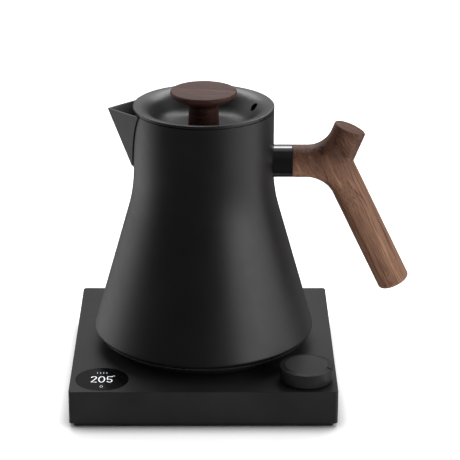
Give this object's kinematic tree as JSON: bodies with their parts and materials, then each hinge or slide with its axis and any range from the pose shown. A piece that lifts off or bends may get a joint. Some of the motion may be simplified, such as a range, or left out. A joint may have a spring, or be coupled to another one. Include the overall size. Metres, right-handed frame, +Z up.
{
  "type": "electric kettle",
  "caption": "Matt black electric pour kettle with folded V spout, dished lid and wooden Y handle, on a square base with round display and dial.",
  "frame": {"origin": "middle of the face that the base stands on, on the axis of the kettle and its connector", "axes": "+Z up, +X towards the handle, -X towards the spout, -Y towards the display and the dial"},
  "size_m": [0.2212, 0.1726, 0.1985],
  "materials": {
    "base_coat": "fine matte black coat",
    "body_coat": "satin matte black powder coat",
    "dial_coat": "satin black anodised look",
    "gloss_black": "gloss black",
    "plinth_plastic": "matte black",
    "connector_plastic": "moulded black",
    "inner_plastic": "moulded",
    "foot_rubber": "matte",
    "silicone": "smooth",
    "display_glass": "gloss black lens",
    "screen": "dark display",
    "circuit_board": "solder mask",
    "steel_fastener": "zinc plated",
    "stainless": "brushed",
    "heat_sink_metal": "satin",
    "transformer_core": "ferrite and tape",
    "contact_brass": "plated",
    "lead_sleeve": "silicone sleeve",
    "walnut": "oiled walnut",
    "pull_walnut": "oiled walnut"
  },
  "bodies": {
    "base": {"base_housing": "base_coat", "base_plate": "plinth_plastic", "foot_ring": "foot_rubber", "base_screws": "steel_fastener", "display_window": "display_glass", "display_screen": "screen", "display_board": "circuit_board", "dial_board": "circuit_board", "encoder_body": "steel_fastener", "inlet_bush": "foot_rubber", "cord_clamp": "inner_plastic", "hold_switch_body": "inner_plastic", "power_board": "circuit_board", "board_screws": "steel_fastener", "relay": "inner_plastic", "transformer": "transformer_core", "capacitor": "heat_sink_metal", "heat_sink": "heat_sink_metal", "mains_terminal": "inner_plastic", "buzzer": "inner_plastic", "base_connector": "connector_plastic", "base_contacts": "contact_brass", "base_leads": "lead_sleeve"},
    "dial_button": {"encoder_plunger": "inner_plastic"},
    "dial": {"encoder_shaft": "steel_fastener", "dial_hub": "inner_plastic", "dial_knob": "dial_coat"},
    "hold_switch": {"hold_slider": "plinth_plastic"},
    "coupler": {"coupler_ring": "connector_plastic"},
    "kettle": {"body_shell": "body_coat", "spout": "body_coat", "heater_plate": "stainless", "diffuser_plate": "heat_sink_metal", "heating_element": "stainless", "temperature_probe": "stainless", "probe_seal": "silicone", "thermal_cutout": "inner_plastic", "kettle_socket": "connector_plastic", "socket_contacts": "contact_brass", "kettle_leads": "lead_sleeve", "bottom_cover": "plinth_plastic", "lip_ring": "stainless", "bottom_seal": "silicone", "cover_posts": "steel_fastener", "bottom_screws": "steel_fastener", "handle_boss": "steel_fastener", "handle_ferrule": "gloss_black", "handle_stud": "steel_fastener", "handle_insert": "contact_brass", "handle_grip": "walnut"},
    "lid": {"lid_dish": "body_coat", "lid_skirt": "stainless", "lid_gasket": "silicone", "lid_inner_plate": "stainless", "lid_spacer": "silicone", "lid_pull": "pull_walnut", "pull_insert": "contact_brass", "lid_screw": "steel_fastener"}
  },
  "joints": [
    {"name": "kettle_swivel", "type": "hinge", "parent": "base", "child": "coupler", "pos_m": [0, 0, 0.0251], "axis": [0, 0, 1], "continuous": true},
    {"name": "kettle_lift", "type": "slide", "parent": "coupler", "child": "kettle", "axis": [0, 0, 1], "range_m": [0, 0.12]},
    {"name": "lid_lift", "type": "slide", "parent": "kettle", "child": "lid", "axis": [0, 0, 1], "range_m": [0, 0.06]},
    {"name": "dial_press", "type": "slide", "parent": "base", "child": "dial_button", "axis": [0, 0, -1], "range_m": [0, 0.0005], "stiffness_N_per_m": 3000},
    {"name": "dial_turn", "type": "hinge", "parent": "dial_button", "child": "dial", "pos_m": [0.0661, -0.0666, 0.0251], "axis": [0, 0, 1], "continuous": true},
    {"name": "hold_slide", "type": "slide", "parent": "base", "child": "hold_switch", "axis": [1, 0, 0], "range_m": [0, 0.003]}
  ]
}
